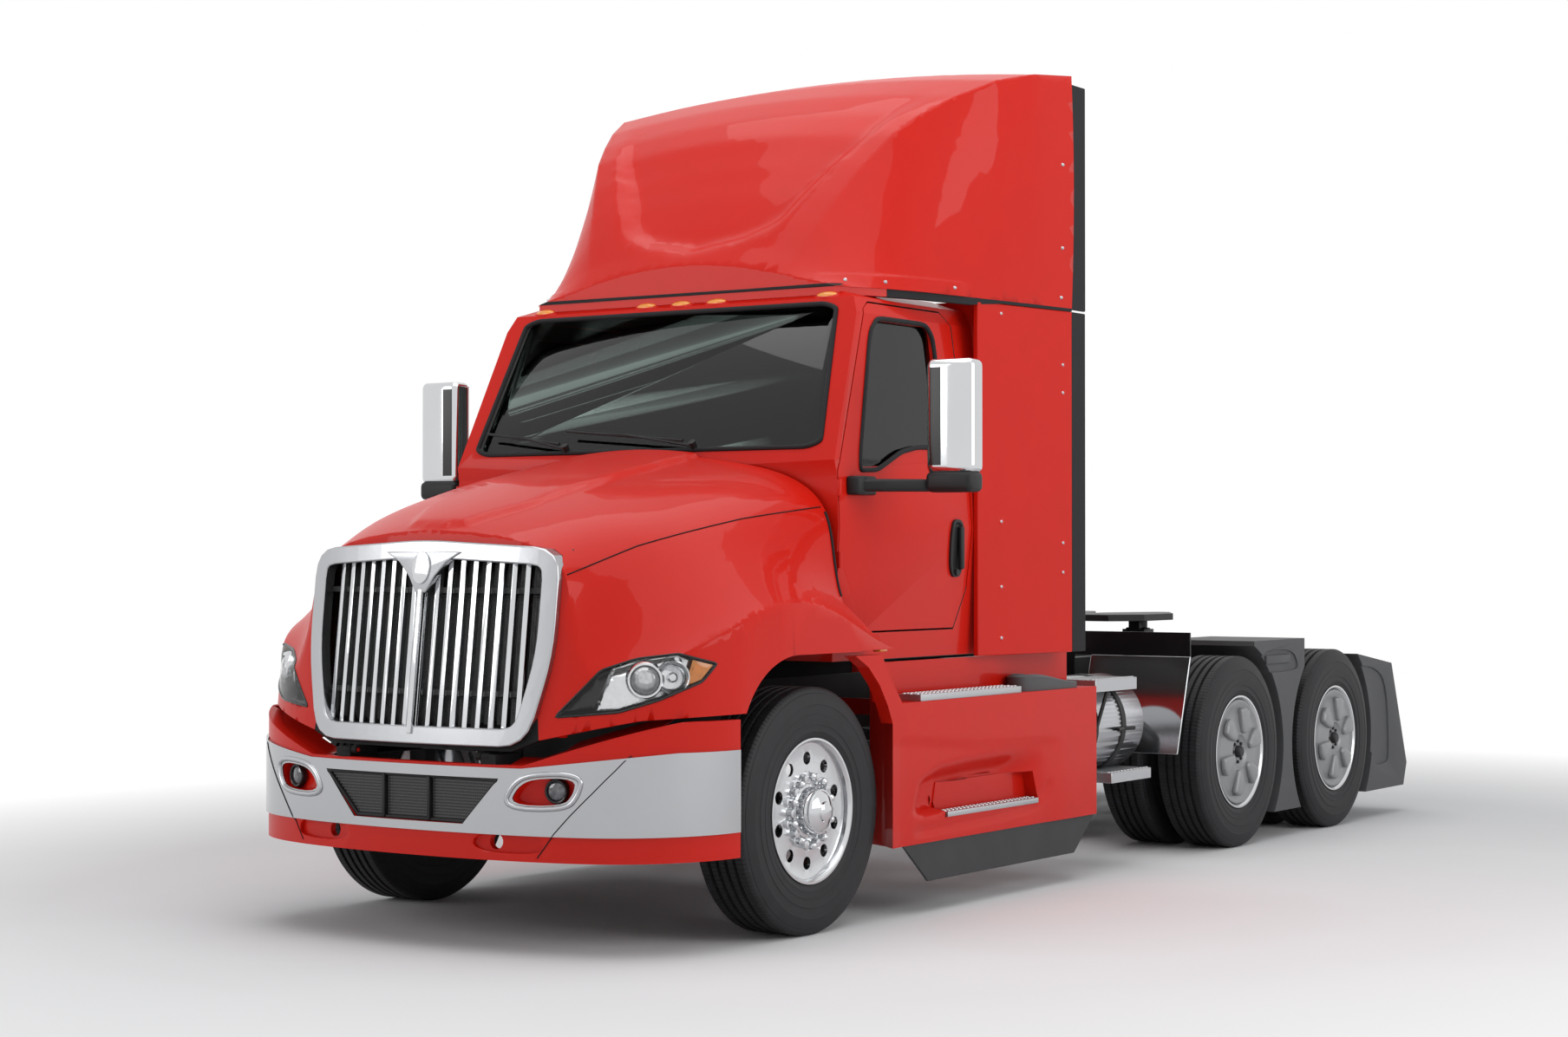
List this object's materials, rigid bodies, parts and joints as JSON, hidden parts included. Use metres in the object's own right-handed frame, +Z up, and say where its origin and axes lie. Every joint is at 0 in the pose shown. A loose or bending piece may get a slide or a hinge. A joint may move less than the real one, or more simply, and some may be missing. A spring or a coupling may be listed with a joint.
{
  "type": "semi truck tractor unit",
  "caption": "Day-cab semi truck tractor with tilting hood, hinged doors, roof fairing, steered front axle, tandem drive axles and a rocking fifth wheel.",
  "frame": {"origin": "on the ground under the middle of the truck's bounding box", "axes": "+X the truck's left, +Y rearward, +Z up"},
  "size_m": [3.12, 7.8, 3.9598],
  "materials": {
    "red_paint": "gloss",
    "black_metal": "satin",
    "bright_metal": "polished",
    "brushed_metal": "satin",
    "grey_plastic": "matte",
    "black_plastic": "satin",
    "rubber": "matte",
    "tyre": "matte",
    "glass": "clear",
    "lamp_glass": "clear",
    "amber_lens": "gloss",
    "red_lens": "gloss",
    "seat_fabric": "matte"
  },
  "bodies": {
    "chassis": {"frame_rails": "black_metal", "engine_block": "black_metal", "radiator": "black_metal", "front_axle": "black_metal", "drive_axles": "black_metal", "drive_shafts": "black_metal", "suspension": "black_metal", "cab_shell": "red_paint", "cab_glass": "glass", "roof_fairing": "red_paint", "side_extenders": "red_paint", "rubber_seals": "rubber", "skirts": "red_paint", "side_dams": "rubber", "tanks": "brushed_metal", "bumper": "red_paint", "bumper_band": "bright_metal", "fog_lamps": "lamp_glass", "marker_lamps": "amber_lens", "tail_lamps": "red_lens", "step_treads": "brushed_metal", "exhaust_pipes": "black_metal", "wheel_fenders": "grey_plastic", "quarter_fenders": "bright_metal", "fender_brackets": "black_metal", "dashboard": "black_plastic", "steering_wheel": "black_plastic", "seats": "seat_fabric", "fifth_wheel_mount": "black_metal"},
    "hood": {"hood_shell": "red_paint", "grille_surround": "bright_metal", "grille_bars": "bright_metal", "headlamps": "lamp_glass"},
    "tie_rod": {"tie_rod": "black_metal"},
    "coupling": {"fifth_wheel_plate": "black_metal"},
    "door_left": {"door_left": "red_paint", "door_glass_left": "glass", "mirror_left": "black_plastic"},
    "knuckle_left": {"knuckle_left": "black_metal"},
    "wheel_front_left": {"tyre_front_left": "tyre", "rim_front_left": "brushed_metal"},
    "wheel_drive_1_left": {"tyres_drive_1_left": "tyre", "rims_drive_1_left": "brushed_metal"},
    "wheel_drive_2_left": {"tyres_drive_2_left": "tyre", "rims_drive_2_left": "brushed_metal"},
    "door_right": {"door_right": "red_paint", "door_glass_right": "glass", "mirror_right": "black_plastic"},
    "knuckle_right": {"knuckle_right": "black_metal"},
    "wheel_front_right": {"tyre_front_right": "tyre", "rim_front_right": "brushed_metal"},
    "wheel_drive_1_right": {"tyres_drive_1_right": "tyre", "rims_drive_1_right": "brushed_metal"},
    "wheel_drive_2_right": {"tyres_drive_2_right": "tyre", "rims_drive_2_right": "brushed_metal"}
  },
  "joints": [
    {"name": "hood_tilt", "type": "hinge", "parent": "chassis", "child": "hood", "pos_m": [0, -3.835, 0.78], "axis": [1, 0, 0], "range_deg": [0, 60]},
    {"name": "door_left_hinge", "type": "hinge", "parent": "chassis", "child": "door_left", "pos_m": [1.07, -2.349, 1.7], "axis": [0, 0, -1], "range_deg": [0, 65]},
    {"name": "steer_left", "type": "hinge", "parent": "chassis", "child": "knuckle_left", "pos_m": [0.88, -2.675, 0.515], "axis": [0, 0, 1], "range_deg": [-35, 35]},
    {"name": "wheel_front_left_spin", "type": "hinge", "parent": "knuckle_left", "child": "wheel_front_left", "pos_m": [1.024, -2.675, 0.515], "axis": [1, 0, 0], "continuous": true},
    {"name": "wheel_drive_1_left_spin", "type": "hinge", "parent": "chassis", "child": "wheel_drive_1_left", "pos_m": [0.913, 1.425, 0.515], "axis": [1, 0, 0], "continuous": true},
    {"name": "wheel_drive_2_left_spin", "type": "hinge", "parent": "chassis", "child": "wheel_drive_2_left", "pos_m": [0.913, 2.745, 0.515], "axis": [1, 0, 0], "continuous": true},
    {"name": "door_right_hinge", "type": "hinge", "parent": "chassis", "child": "door_right", "pos_m": [-1.07, -2.349, 1.7], "axis": [0, 0, 1], "range_deg": [0, 65]},
    {"name": "steer_right", "type": "hinge", "parent": "chassis", "child": "knuckle_right", "pos_m": [-0.88, -2.675, 0.515], "axis": [0, 0, 1], "range_deg": [-35, 35]},
    {"name": "wheel_front_right_spin", "type": "hinge", "parent": "knuckle_right", "child": "wheel_front_right", "pos_m": [-1.024, -2.675, 0.515], "axis": [1, 0, 0], "continuous": true},
    {"name": "wheel_drive_1_right_spin", "type": "hinge", "parent": "chassis", "child": "wheel_drive_1_right", "pos_m": [-0.913, 1.425, 0.515], "axis": [1, 0, 0], "continuous": true},
    {"name": "wheel_drive_2_right_spin", "type": "hinge", "parent": "chassis", "child": "wheel_drive_2_right", "pos_m": [-0.913, 2.745, 0.515], "axis": [1, 0, 0], "continuous": true},
    {"name": "tie_rod_swing", "type": "hinge", "parent": "knuckle_left", "child": "tie_rod", "pos_m": [0.88, -2.485, 0.4], "axis": [0, 0, 1], "range_deg": [-35, 35]},
    {"name": "coupling_rock", "type": "hinge", "parent": "chassis", "child": "coupling", "pos_m": [0, 2.025, 1.13], "axis": [1, 0, 0], "range_deg": [-10, 10]}
  ],
  "couplings": [
    {"joint": "steer_right", "follows": "steer_left", "ratio": 1},
    {"joint": "tie_rod_swing", "follows": "steer_left", "ratio": -1}
  ]
}
